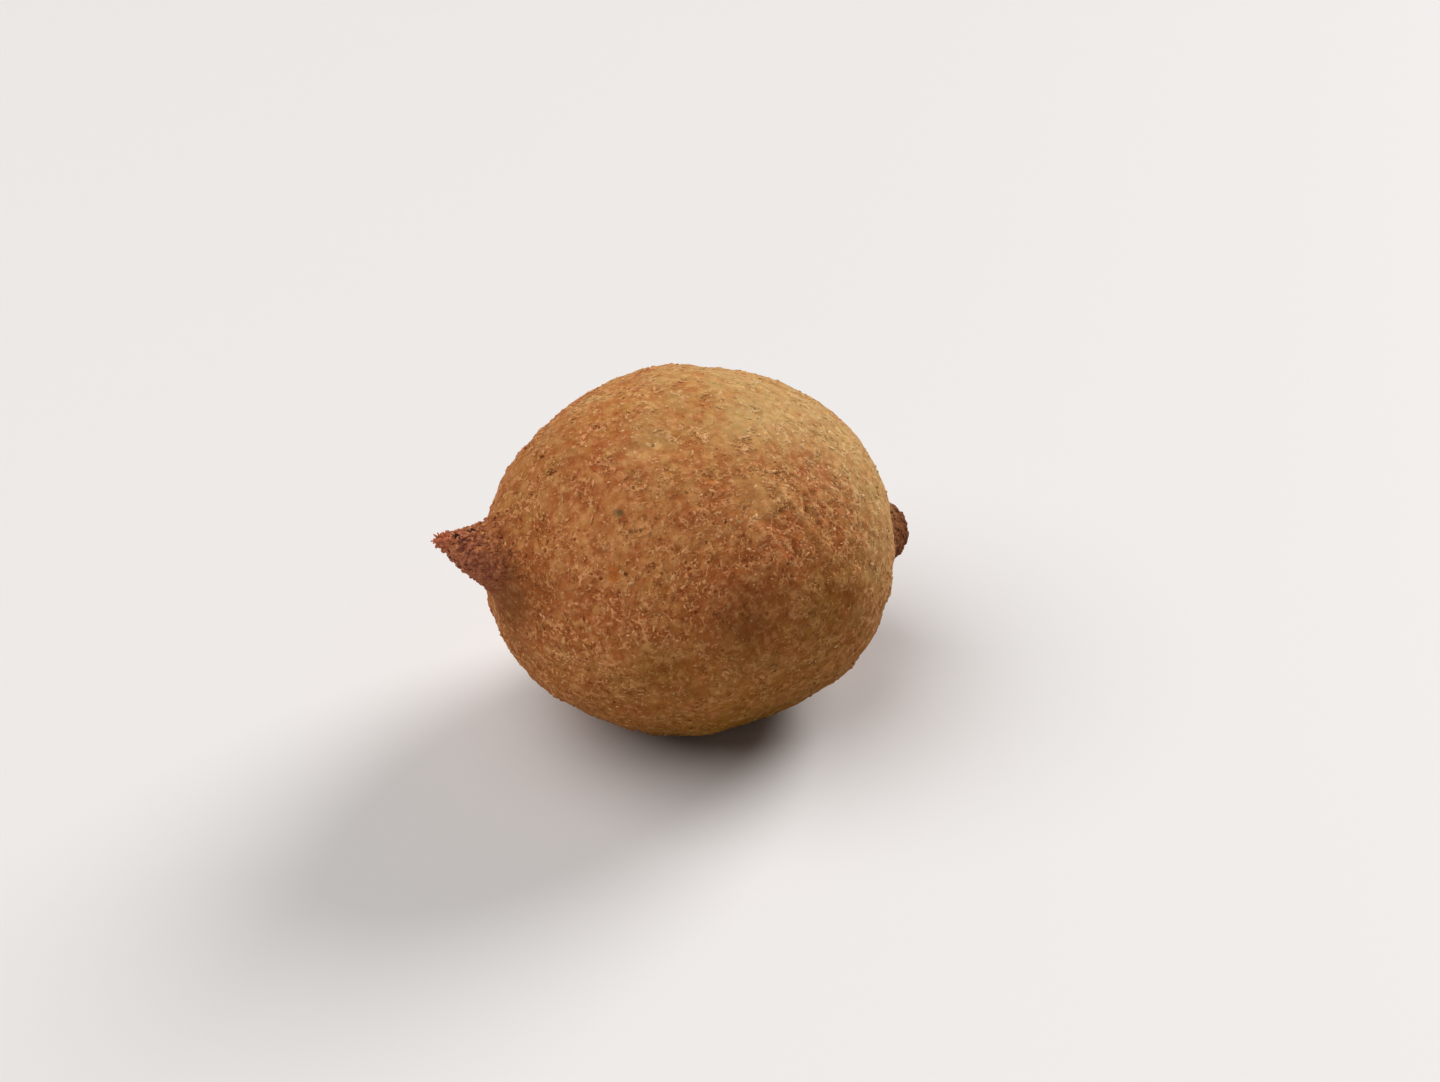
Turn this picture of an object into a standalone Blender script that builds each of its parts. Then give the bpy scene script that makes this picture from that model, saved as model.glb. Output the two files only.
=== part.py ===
"""A fried kibbeh: one solid ball of bulgur dough, drawn out by hand to a point at each end.

The ball lies on its belly. The line between its two points runs along X and rises a little
towards the front point, at -X. Z is up, and the origin is on the surface that it rests on,
under the middle of its bounding box.
"""

import bisect
import math
from collections import namedtuple

import bmesh
import bpy
from mathutils import Matrix, Vector, noise

# Driving sizes, in metres
BALL_RADIUS = 0.0281  # half the ball's thickness, square to the line between its points
BALL_HALF_LENGTH = 0.0306  # half the ball's length, without the points
BALL_TAPER = 0.60  # 0.5 leaves the ball's ends round, and more draws them out to the points
FOOT_SINK = 0.0011  # depth of belly that is pressed flat where it rests
LEAN_DEG = 14.0  # slope of the line between the points

# A pinched point: how far it stands out of the ball, the radius of its broken end, how much its
# radius grows for each metre from that end, and how far the end is bent up.
Point = namedtuple("Point", "length blunt spread lift")
FRONT = Point(length=0.0111, blunt=0.0005, spread=0.54, lift=0.0046)
BACK = Point(length=0.0087, blunt=0.0034, spread=0.60, lift=0.0020)
BLUNT_LENGTH = 0.0014  # distance in which a broken end rounds over
POINT_REACH = 0.0220  # distance from its end at which a point has merged into the ball
FILLET_POWER = 1.5  # a higher power joins the points to the ball more sharply
BEND_FROM = 0.0150  # distance from the middle at which the points start to bend up
BEND_POWER = 3.0  # a higher power keeps the bend nearer to the end

# What the palms and fingers left in the dough: the bearing round Z from +X and the height above
# the horizon of each mark and its width, all in degrees, and how far it stands out, in metres.
HandMark = namedtuple("HandMark", "bearing height width out")
HAND_MARKS = (
    HandMark(bearing=-85, height=-51, width=24, out=-0.0007),
    HandMark(bearing=170, height=-25, width=24, out=0.0004),
    HandMark(bearing=70, height=45, width=26, out=0.0004),
    HandMark(bearing=55, height=5, width=32, out=-0.0007),
    HandMark(bearing=105, height=-25, width=28, out=0.0006),
    HandMark(bearing=131, height=28, width=18, out=-0.0015),
    HandMark(bearing=174, height=29, width=8, out=0.0006),
    HandMark(bearing=177, height=26, width=5, out=0.0014),
)

# Relief of the crust: how wide each kind of lump is and how high or deep it goes, in metres
LUMP_WIDTH, LUMP_HEIGHT = 0.0090, 0.00045
GRAIN_WIDTH, GRAIN_HEIGHT = 0.0034, 0.00035
PIT_WIDTH, PIT_DEPTH = 0.0052, 0.00060
PIT_SHARE = 0.15  # pits lie where their noise, from -1 to 1, is above this
CRAG_WIDTH, CRAG_HEIGHT = 0.0019, 0.00100
CRAG_OCTAVES = 2
CRAG_MIDDLE = 0.5  # the crags' noise at which the crust neither rises nor sinks
CRAG_REACH = 0.0130  # crags fade away at this distance from a point's end

GRID = 29  # quads along each side of the starting cube
FINE_REACH = 0.0095  # within this distance of a point's end the mesh is twice as fine
PROFILE_STEPS = 400

CRUST_COLOUR = (0.36, 0.16, 0.06, 1.0)
CRUST_ROUGHNESS = 0.75

TOWARDS_FRONT = Vector((-1.0, 0.0, 0.0))


def clear_scene():
    for old in list(bpy.data.objects):
        bpy.data.objects.remove(old, do_unlink=True)


def crust_material():
    material = bpy.data.materials.new("fried_crust")
    material.use_nodes = True
    shader = material.node_tree.nodes["Principled BSDF"]
    shader.inputs["Base Color"].default_value = CRUST_COLOUR
    shader.inputs["Roughness"].default_value = CRUST_ROUGHNESS
    shader.inputs["Metallic"].default_value = 0.0
    return material


def point_radius(point, from_end):
    """Radius of a pinched point, which widens from its broken end and fades inside the ball."""
    rounding = 1.0 - min(1.0, from_end / BLUNT_LENGTH)
    cone = point.blunt * math.sqrt(1.0 - rounding**2) + point.spread * from_end
    return cone * math.exp(-((from_end / POINT_REACH) ** 3))


def turned_radius(x):
    """Radius of the turned shape at x: the ball and the point on that side, with a soft fillet."""
    ball = BALL_RADIUS * max(0.0, 1.0 - (x / BALL_HALF_LENGTH) ** 2) ** BALL_TAPER
    point = FRONT if x < 0.0 else BACK
    pinched = point_radius(point, BALL_HALF_LENGTH + point.length - abs(x))
    return (ball**FILLET_POWER + pinched**FILLET_POWER) ** (1.0 / FILLET_POWER)


class Profile:
    """The outline that is turned about X, read by the distance along it from the front end."""

    def __init__(self):
        front = -(BALL_HALF_LENGTH + FRONT.length)
        back = BALL_HALF_LENGTH + BACK.length
        self.points = [Vector((front, 0.0))]
        self.far = [0.0]
        for step in range(1, PROFILE_STEPS + 1):
            share = (1.0 - math.cos(math.pi * step / PROFILE_STEPS)) / 2.0
            x = front + (back - front) * share
            point = Vector((x, turned_radius(x) if step < PROFILE_STEPS else 0.0))
            self.far.append(self.far[-1] + (point - self.points[-1]).length)
            self.points.append(point)
        self.length = self.far[-1]

    def at(self, distance):
        """x and radius at a distance along the outline."""
        index = min(PROFILE_STEPS, max(1, bisect.bisect_left(self.far, distance)))
        start, end = self.far[index - 1], self.far[index]
        return self.points[index - 1].lerp(self.points[index], (distance - start) / (end - start))

    def from_nearer_end(self, direction):
        """Distance along the outline from the nearer point's end to where a direction meets it."""
        angle = direction.angle(TOWARDS_FRONT)
        return self.length * min(angle, math.pi - angle) / math.pi


def even_direction(corner):
    """A place on the starting cube as a direction, with the quads spread evenly over a sphere."""
    return Vector(math.tan(math.pi / 4.0 * side) for side in corner).normalized()


def grid_ball(profile):
    """A cube cut into a grid, finer over the two ends, with its corners as unit directions."""
    mesh = bmesh.new()
    bmesh.ops.create_cube(mesh, size=2.0)
    bmesh.ops.subdivide_edges(mesh, edges=mesh.edges[:], cuts=GRID - 1, use_grid_fill=True)
    near_ends = [
        face
        for face in mesh.faces
        if profile.from_nearer_end(even_direction(face.calc_center_median())) < FINE_REACH
    ]
    finer = list({edge for face in near_ends for edge in face.edges})
    bmesh.ops.subdivide_edges(mesh, edges=finer, cuts=1, use_grid_fill=True)
    for vert in mesh.verts:
        vert.co = even_direction(vert.co)
    return mesh


def middle_line(x):
    """The middle of the kibbeh at x, which bends up towards both points."""
    point = FRONT if x < 0.0 else BACK
    bent = max(0.0, abs(x) - BEND_FROM) / (BALL_HALF_LENGTH + point.length - BEND_FROM)
    return Vector((x, 0.0, point.lift * bent**BEND_POWER))


def wrap_on_profile(mesh, profile):
    """Lays the ball's grid over the turned shape, evenly along its outline. Returns the distance
    of each corner from the nearer point's end."""
    from_end = {}
    for vert in mesh.verts:
        from_end[vert] = profile.from_nearer_end(vert.co)
        turn = math.atan2(vert.co.z, vert.co.y)
        distance = profile.length * vert.co.angle(TOWARDS_FRONT) / math.pi
        x, radius = profile.at(distance)
        vert.co = middle_line(x) + radius * Vector((0.0, math.cos(turn), math.sin(turn)))
    return from_end


def lean_back(mesh):
    lean = Matrix.Rotation(math.radians(LEAN_DEG), 4, "Y")
    bmesh.ops.transform(mesh, matrix=lean, verts=mesh.verts[:])


def mark_direction(mark):
    bearing, height = math.radians(mark.bearing), math.radians(mark.height)
    flat = Vector((math.cos(bearing), math.sin(bearing), 0.0)) * math.cos(height)
    return flat + Vector((0.0, 0.0, math.sin(height)))


def press_by_hand(mesh):
    """Leaves each hand mark as a soft round dent or bulge."""
    marks = [(mark_direction(mark), math.radians(mark.width), mark.out) for mark in HAND_MARKS]
    for vert in mesh.verts:
        outward = vert.co.normalized()
        moved = sum(
            out * math.exp(-((outward.angle(direction) / width) ** 2))
            for direction, width, out in marks
        )
        vert.co += outward * moved


def crust_relief(place, from_end):
    """How far the crust stands out at a place: lumps, grains and pits, and crags by the points."""
    lumps = LUMP_HEIGHT * noise.noise(place / LUMP_WIDTH)
    grains = GRAIN_HEIGHT * noise.noise(place / GRAIN_WIDTH)
    pits = PIT_DEPTH * max(0.0, noise.noise(place / PIT_WIDTH) - PIT_SHARE)
    cragged = max(0.0, 1.0 - from_end / CRAG_REACH)
    rough = noise.turbulence(place / CRAG_WIDTH, CRAG_OCTAVES, True) - CRAG_MIDDLE
    return lumps + grains - pits + CRAG_HEIGHT * cragged * rough


def roughen(mesh, from_end):
    mesh.normal_update()
    moved = {vert: vert.normal * crust_relief(vert.co, from_end[vert]) for vert in mesh.verts}
    for vert, shift in moved.items():
        vert.co += shift


def rest_on_foot(mesh):
    """Cuts the belly off flat, and moves the kibbeh so that the foot is at the origin's height."""
    foot = min(vert.co.z for vert in mesh.verts) + FOOT_SINK
    cut = bmesh.ops.bisect_plane(
        mesh,
        geom=mesh.verts[:] + mesh.edges[:] + mesh.faces[:],
        plane_co=(0.0, 0.0, foot),
        plane_no=(0.0, 0.0, -1.0),
        clear_outer=True,
    )
    rim = [part for part in cut["geom_cut"] if isinstance(part, bmesh.types.BMEdge)]
    bmesh.ops.contextual_create(mesh, geom=rim)
    xs = [vert.co.x for vert in mesh.verts]
    ys = [vert.co.y for vert in mesh.verts]
    middle = Vector(((min(xs) + max(xs)) / 2.0, (min(ys) + max(ys)) / 2.0, foot))
    bmesh.ops.translate(mesh, verts=mesh.verts[:], vec=-middle)


def make_kibbeh():
    profile = Profile()
    mesh = grid_ball(profile)
    from_end = wrap_on_profile(mesh, profile)
    lean_back(mesh)
    press_by_hand(mesh)
    roughen(mesh, from_end)
    rest_on_foot(mesh)
    bmesh.ops.recalc_face_normals(mesh, faces=mesh.faces[:])
    data = bpy.data.meshes.new("kibbeh")
    mesh.to_mesh(data)
    mesh.free()
    data.materials.append(crust_material())
    kibbeh = bpy.data.objects.new("kibbeh", data)
    bpy.context.scene.collection.objects.link(kibbeh)
    return kibbeh


clear_scene()
make_kibbeh()
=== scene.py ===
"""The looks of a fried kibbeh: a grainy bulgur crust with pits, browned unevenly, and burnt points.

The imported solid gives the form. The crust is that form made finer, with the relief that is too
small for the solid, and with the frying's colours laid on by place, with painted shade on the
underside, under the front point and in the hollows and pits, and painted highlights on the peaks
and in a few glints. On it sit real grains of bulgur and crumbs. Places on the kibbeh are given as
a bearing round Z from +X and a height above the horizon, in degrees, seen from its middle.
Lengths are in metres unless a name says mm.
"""

import math
from collections import namedtuple

import bmesh
import bpy
import numpy as np
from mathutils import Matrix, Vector, noise
from mathutils.kdtree import KDTree


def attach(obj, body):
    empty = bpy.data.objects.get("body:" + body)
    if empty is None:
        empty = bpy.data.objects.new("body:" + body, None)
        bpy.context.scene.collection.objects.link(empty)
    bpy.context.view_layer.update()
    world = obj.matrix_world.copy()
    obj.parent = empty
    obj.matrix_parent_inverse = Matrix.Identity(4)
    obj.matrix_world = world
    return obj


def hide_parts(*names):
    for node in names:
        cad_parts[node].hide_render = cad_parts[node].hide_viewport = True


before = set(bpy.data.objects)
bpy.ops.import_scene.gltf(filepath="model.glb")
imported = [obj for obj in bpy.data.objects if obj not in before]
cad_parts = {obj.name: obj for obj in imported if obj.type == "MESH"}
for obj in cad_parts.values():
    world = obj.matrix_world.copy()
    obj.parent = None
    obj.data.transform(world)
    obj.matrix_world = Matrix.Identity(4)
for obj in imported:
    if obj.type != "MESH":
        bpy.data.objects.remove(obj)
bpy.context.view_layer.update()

MM = 0.001
SEED = 7

# Where the photograph was taken from
CAMERA_BEARING_DEG = -28.0
CAMERA_HEIGHT_DEG = 34.0
CAMERA_DISTANCE = 0.303
IMAGE_SIZE = (1440, 1082)
FOCAL_PX = 2000.0
SENSOR_WIDTH_MM = 36.0
MIDDLE = Vector((0.0, 0.0, 0.0281))
MIDDLE_PX = (683.5, 548.5)
CLIP_START = 0.01

# The lamps: where each stands, as a bearing and a height, how wide it looks, in degrees, and its
# strength
Lamp = namedtuple("Lamp", "name bearing height width strength")
LAMPS = (
    Lamp("key", 17.0, 33.0, 30.0, 2.37),
    Lamp("fill", 171.0, 62.0, 60.0, 1.97),
)
ROOM_COLOUR, ROOM_STRENGTH = (1.0, 0.99, 0.98, 1.0), 0.10

# The floor: half its side, the radius in which it is flat, and how high its edge has risen
FLOOR_REACH, FLOOR_FLAT, FLOOR_RISE = 6.0, 2.0, 0.20
FLOOR_CELLS = 48
FLOOR_COLOUR, FLOOR_ROUGHNESS = (0.80, 0.775, 0.76, 1.0), 0.7

# Relief of the crust, in mm
FINER = 2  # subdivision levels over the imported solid
WELD_DISTANCE = 0.001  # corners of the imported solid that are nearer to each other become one
QUAD_ANGLE_DEG = 60.0  # how far from flat and from square a quad of two triangles may be
LUMP_WIDTH, LUMP_HEIGHT = 2.6, 0.14
CRUMB_WIDTH, CRUMB_HEIGHT = 0.95, 0.14
CELL_GROWTH = 1.4  # how much wider the crumb's cells are than its noise
CELL_MIDDLE = 0.5  # how far from its middle a cell neither rises nor sinks, in cells
SMOOTH_SHARE = 0.4  # how much of the crumb is left where the crust is closed and smooth
CRAG_WIDTH, CRAG_HEIGHT = 1.2, 0.80
CRAG_OCTAVES = 3
CRAG_MIDDLE = 0.55  # the crags' noise at which the crust neither rises nor sinks
CRAG_REACH = (5.0, 17.0)  # crags are whole nearer to a point's end than this, and gone past that
BACK_CALM = 0.5  # how much smoother the back point is than the front one
KNOB_WIDTH, KNOB_HEIGHT = 2.0, 0.36  # coarser lumps, only where the crust is open
OPEN_WIDTH = 3.4  # how wide the open, crumbly places of the crust are
OPEN_DETAIL = (0.45, 0.5)  # the width and strength of their detail, as a share of their own
OPEN_RANGE = (-0.7, 0.5)  # their noise where the crust is fully closed and fully open
PIT_COUNT = 1000
PIT_RADIUS = (0.24, 0.46)
PIT_DEPTH = 0.26
EVEN_PIT_SHARE = 0.25  # of their number and depth, how much the pits keep where it is even
OPEN_PIT_GROWTH = 0.3  # how much larger the pits are where the crust is open
CLOSED_PITS = 0.06  # how likely a pit is where the crust is closed: 1 more where it is open
DENT_REACH = 2.2  # how far a pit or a lump reaches, in its own radii

# Single lumps and dents of the crust that show in the photograph: the place and the radius in
# mm, and how far it stands out
Lump = namedtuple("Lump", "x y z radius out")
LUMPS = (
    Lump(2.9, -25.0, 40.4, 0.90, 0.70),
    Lump(-4.8, -22.9, 42.2, 0.90, 0.48),
    Lump(9.6, -18.8, 46.3, 0.85, 0.46),
    Lump(13.7, -17.6, 44.9, 0.75, 0.46),
    Lump(7.9, -20.0, 45.9, 0.75, 0.42),
    Lump(8.7, -22.8, 41.8, 0.90, 0.46),
    Lump(0.4, -22.8, 44.0, 1.00, 0.36),
    Lump(-3.2, -25.2, 39.8, 1.00, 0.46),
    Lump(9.1, -20.9, 44.0, 0.60, -0.45),
    Lump(4.0, -25.3, 39.4, 0.50, -0.36),
    Lump(5.4, -24.6, 40.2, 0.50, -0.30),
    Lump(-3.6, -20.4, 46.1, 0.45, -0.28),
    Lump(12.6, -22.0, 40.4, 0.50, -0.30),
)

# Grains of bulgur and crumbs on the crust: half their length, width and thickness, in mm
GRAIN_COUNT = 8600
GRAIN_SIZE = ((0.20, 0.42), (0.11, 0.22), (0.10, 0.17))
CRUMB_COUNT = 8600
CRUMB_SIZE = ((0.20, 0.42), (0.16, 0.30), (0.12, 0.20))
FLAKE_COUNT = 1100
FLAKE_SIZE = ((0.38, 0.75), (0.15, 0.27), (0.08, 0.12))
TIP_CRUMB_COUNT = 420
TIP_CRUMB_SIZE = ((0.20, 0.55), (0.16, 0.40), (0.12, 0.26))

# How likely a chip is where the crust is closed, and what its being open or burnt adds to that
CLOSED_GRAINS, OPEN_GRAINS = 0.10, 0.9
CLOSED_CRUMBS, OPEN_CRUMBS, BURNT_CRUMBS = 0.12, 0.9, 1.5
FEWEST_FLAKES = 0.02  # where the crust isn't pale, if 1 is where it is palest
TIP_CRUMB_POWER = 1.5  # a higher power keeps them nearer to the middle of the burnt crust

# How much paler than the crust the chips are, up to 1, or darker, down to -1: drawn from a range
GRAIN_TONE = (0.0, 1.0)
GRAIN_TONE_POWER = 1.5  # a higher power makes fewer of the grains pale
CRUMB_TONE = (-1.0, 0.0)
FLAKE_TONE = (0.6, 0.95)
TIP_CRUMB_TONE = (-1.0, 0.6)

# How the chips lie in the crust, and how uneven they are
ASIDE = 0.12  # how far a chip may lie from the corner that it was drawn at, in mm
TILT = 0.2  # how far the chips are tilted out of the crust at random
SUNK = 0.55  # how deep a chip's middle lies in the crust, as a share of its half thickness
FLUSH_SUNK = 0.85  # the same for a chip that lies flush, as they do where it is even or closed
CLOSED_FLUSH = 0.6  # how flush they lie where it is closed
RIM_SHARE = 0.45  # of the grains, how many stand round the pits
RIM_REACH = 1.5  # how far from a pit's middle they stand, in its own radii
UNEVEN = 0.28  # how far a chip's corners are off a smooth ellipsoid
EVEN_SHARE = 0.45  # how many of the chips are left, and how much relief, where it is even

# Somewhere on the kibbeh that differs from the rest: how far it spreads and how strong it is
Patch = namedtuple("Patch", "bearing height width amount")
# Places browned in the frying and painted in shade: the underside, the lower front and the root of
# the front point
TOAST_AND_SHADE_PATCHES = (
    Patch(-87, -56, 51, 1.07),
    Patch(-98, 11, 12, 0.68),
    Patch(-68, 7, 16, 0.41),
    Patch(-122, -2, 10, 0.37),
    Patch(-160, 16, 10, 0.34),
    Patch(-173, 2, 11, 0.58),
    Patch(-170, 11, 8, 0.43),
    Patch(95, -42, 36, 0.50),
)
FAIR_PATCHES = (
    Patch(-126, 39, 11, 1.10),
    Patch(-93, 41, 11, 0.98),
    Patch(-146, 29, 12, 1.10),
    Patch(-32, 1, 15, 0.40),
    Patch(-109, 46, 9, 0.68),
    Patch(-68, 20, 11, 0.35),
)
RUDDY_PATCHES = (
    Patch(-52, 41, 13, 0.96),
    Patch(-80, 29, 8, 1.10),
    Patch(-134, 15, 10, 1.02),
    Patch(-158, 15, 12, 0.97),
    Patch(153, 15, 7, 0.30),
    Patch(-101, 20, 16, 1.05),
    Patch(-156, 53, 13, 0.60),
    Patch(-171, 4, 12, 1.10),
    Patch(-166, 40, 12, 0.22),
    Patch(-95, 10, 14, 0.36),
    Patch(-54, 19, 13, 0.24),
    Patch(105, 15, 42, 0.30),
)
PALE_PATCHES = (
    Patch(12, 89, 55, 0.30),
    Patch(-17, 55, 27, 1.04),
    Patch(147, 63, 6, 0.55),
    Patch(-26, 8, 29, 0.90),
    Patch(80, 11, 55, 0.46),
    Patch(-87, 41, 7, 0.72),
    Patch(-144, 65, 6, 0.52),
    Patch(-90, 4, 11, 0.23),
    Patch(-147, -5, 11, 0.24),
)
OPEN_PATCHES = (
    Patch(-72, 28, 26, 0.55),
    Patch(-175, 20, 16, 0.30),
    Patch(-125, 5, 30, 0.15),
    Patch(-165, 45, 25, -0.20),
    Patch(-80, 75, 26, -0.35),
)

# Where the points are burnt: the middle of it, the distance from there where it is still whole,
# and the distance where it is gone, all in mm
Burn = namedtuple("Burn", "x y z whole gone")
BURNS = (
    Burn(-37.5, -0.6, 38.6, 2.0, 12.5),
    Burn(39.1, -1.8, 20.0, 2.5, 15.0),
)
EMBER_REACH = (1.6, 3.0)  # the same two distances, from the front end, of its redder tip

# Colours of the crust
GOLD = (0.495, 0.188, 0.047, 1.0)
PALE_GOLD = (0.544, 0.338, 0.125, 1.0)
FAIR = (0.610, 0.255, 0.082, 1.0)
RUST = (0.435, 0.123, 0.036, 1.0)
PEACH = (0.865, 0.415, 0.174, 1.0)
STRAW = (0.810, 0.440, 0.160, 1.0)
CREAM = (0.860, 0.600, 0.300, 1.0)
BROWN = (0.260, 0.066, 0.012, 1.0)
# Browned crust with painted shade over it, for the underside and under the front point
TOAST_AND_SHADE_BROWN = (0.160, 0.068, 0.002, 1.0)
TAN = (0.440, 0.235, 0.080, 1.0)
# The same browned crust and painted shade, where the crust is also ruddy
UMBER = (0.190, 0.062, 0.014, 1.0)
SCORCHED = (0.345, 0.112, 0.072, 1.0)
BURNT_RED = (0.640, 0.225, 0.132, 1.0)
EMBER = (0.590, 0.180, 0.085, 1.0)

# How much of the crust's own colour is left under the painted shade in its hollows and in its pits
HOLLOW_SHADE_TINT = (0.72, 0.58, 0.43)
PIT_SHADE_TINT = (0.43, 0.24, 0.05)
CHAR_TINT = (0.45, 0.38, 0.25)  # the same where the back point is charred

# Colours of the small spots: the hole colour is painted shade in small holes, and the glint colour
# a painted glint
HOLE_SHADE = (0.125, 0.036, 0.008, 1.0)
CHAR = (0.022, 0.010, 0.009, 1.0)
PLUM = (0.270, 0.082, 0.074, 1.0)
SPECK = (0.200, 0.100, 0.040, 1.0)
HERB = (0.250, 0.155, 0.062, 1.0)
HERB_CORE = (0.125, 0.084, 0.038, 1.0)
ORANGE = (0.480, 0.130, 0.022, 1.0)
HONEY = (0.600, 0.270, 0.065, 1.0)
GLINT = (0.920, 0.640, 0.360, 1.0)

# Small spots of another colour: the place and half the width in mm, the colour and its strength
Spot = namedtuple("Spot", "x y z size colour strength")
SPOTS = (
    Spot(-16.9, -13.8, 47.8, 0.62, HERB, 0.60),
    Spot(-16.6, -14.0, 47.6, 0.42, HERB_CORE, 0.60),
    Spot(-15.0, -16.6, 46.0, 0.28, SPECK, 0.80),
    Spot(-16.0, -16.1, 45.8, 0.32, SPECK, 0.80),
    Spot(-21.1, 2.5, 49.3, 0.26, HOLE_SHADE, 0.80),
    Spot(-20.6, 2.6, 49.7, 0.24, HOLE_SHADE, 0.60),
    Spot(-3.4, -2.4, 55.0, 0.22, HOLE_SHADE, 0.85),
    Spot(-8.2, -8.4, 52.9, 0.62, STRAW, 0.50),
    Spot(-8.7, -8.1, 52.9, 0.26, SPECK, 0.85),
    Spot(-19.5, -17.3, 41.1, 0.85, ORANGE, 0.75),
    Spot(-19.5, -17.5, 40.1, 0.80, ORANGE, 0.70),
    Spot(-18.2, -18.5, 40.6, 0.30, HOLE_SHADE, 0.80),
    Spot(9.0, -20.6, 44.2, 0.45, HOLE_SHADE, 0.60),
    Spot(8.9, -21.4, 43.1, 0.28, HOLE_SHADE, 0.60),
    Spot(8.6, -19.9, 45.6, 0.42, STRAW, 0.70),
    Spot(2.7, -25.1, 40.4, 0.60, GOLD, 0.60),
    Spot(3.6, -25.3, 39.7, 0.30, HOLE_SHADE, 0.85),
    Spot(0.6, -25.1, 40.0, 0.38, HOLE_SHADE, 0.45),
    Spot(-2.7, -24.5, 40.9, 0.25, HOLE_SHADE, 0.80),
    Spot(-3.6, -20.6, 45.9, 0.26, HOLE_SHADE, 0.85),
    Spot(-2.8, -20.6, 46.1, 0.18, GLINT, 0.70),
    Spot(-2.0, -20.4, 46.5, 0.14, GLINT, 0.60),
    Spot(6.4, -18.8, 47.4, 0.75, HONEY, 0.40),
    Spot(-0.8, -18.9, 48.0, 0.80, HONEY, 0.40),
    Spot(13.3, -21.7, 40.2, 0.20, GLINT, 0.75),
    Spot(12.6, -22.0, 40.6, 0.22, HOLE_SHADE, 0.80),
    Spot(17.0, -22.2, 36.2, 0.30, HOLE_SHADE, 0.80),
    Spot(-7.6, -16.1, 49.7, 0.22, HOLE_SHADE, 0.55),
    Spot(-12.7, -16.8, 47.3, 0.30, HOLE_SHADE, 0.60),
    Spot(-12.6, -21.8, 40.5, 0.28, PEACH, 0.80),
    Spot(-34.7, -0.6, 41.8, 1.10, PLUM, 0.60),
    Spot(-35.9, -0.2, 41.9, 0.60, CHAR, 0.95),
    Spot(-33.7, 0.1, 42.3, 0.60, CHAR, 0.95),
)

# Single crumbs that stand out: the place, half the length and width in mm, and the colour
Crumb = namedtuple("Crumb", "x y z length width colour")
ODD_CRUMBS = (
    Crumb(-18.0, -18.9, 39.6, 0.62, 0.42, (0.690, 0.380, 0.180)),
    Crumb(-18.5, -18.0, 41.3, 0.35, 0.22, (0.700, 0.400, 0.190)),
    Crumb(-29.8, -3.1, 40.0, 0.58, 0.22, (0.850, 0.560, 0.180)),
    Crumb(-31.6, -2.1, 40.9, 0.32, 0.20, (0.780, 0.400, 0.110)),
    Crumb(-32.0, -0.9, 41.5, 0.36, 0.22, (0.780, 0.360, 0.100)),
    Crumb(-31.2, 0.4, 43.2, 0.40, 0.24, (0.760, 0.340, 0.110)),
    Crumb(-30.9, 3.0, 44.6, 0.75, 0.28, (0.400, 0.110, 0.050)),
    Crumb(-19.5, -17.0, 9.4, 0.60, 0.42, (0.700, 0.300, 0.150)),
)
CRUMB_THICKNESS = 0.18

# Thin shreds that make the front end ragged: the place, half the length and width in mm, and the
# bearing and the height above the horizon that each points at, in degrees
Shred = namedtuple("Shred", "x y z length width bearing height")
SHREDS = (
    Shred(-39.1, 0.0, 42.1, 0.85, 0.18, 180, 5),
    Shred(-38.9, 0.2, 42.6, 0.95, 0.17, 175, 50),
    Shred(-38.3, 0.0, 42.9, 0.80, 0.18, 185, 75),
    Shred(-37.6, 0.1, 43.2, 0.65, 0.20, 170, 65),
    Shred(-39.1, -0.4, 41.8, 0.60, 0.20, 195, -10),
    Shred(-38.7, -0.6, 42.3, 0.60, 0.18, 215, 30),
    Shred(-36.9, 0.3, 43.4, 0.60, 0.22, 90, 75),
    Shred(-38.8, 0.5, 41.9, 0.50, 0.20, 160, 10),
    Shred(-38.6, 0.0, 41.1, 0.45, 0.22, 190, -35),
)


def smooth_step(low, high, value):
    """0 up to low, 1 from high on, and smooth between them."""
    share = min(1.0, max(0.0, (value - low) / (high - low)))
    return share * share * (3.0 - 2.0 * share)


def towards(bearing, height):
    """Unit direction at a bearing and a height."""
    bearing, height = math.radians(bearing), math.radians(height)
    flat = Vector((math.cos(bearing), math.sin(bearing), 0.0)) * math.cos(height)
    return flat + Vector((0.0, 0.0, math.sin(height)))


def patch_sum(patches, place):
    """How strongly the patches reach a place, all together."""
    direction = (place - MIDDLE).normalized()
    total = 0.0
    for patch in patches:
        angle = math.degrees(direction.angle(towards(patch.bearing, patch.height)))
        total += patch.amount * math.exp(-((angle / patch.width) ** 2))
    return total


def burnt(place):
    """How burnt the crust is at a place, from 0 to 1."""
    most = 0.0
    for burn in BURNS:
        far = (place / MM - Vector((burn.x, burn.y, burn.z))).length
        most = max(most, 1.0 - smooth_step(burn.whole, burn.gone, far))
    return most


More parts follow.
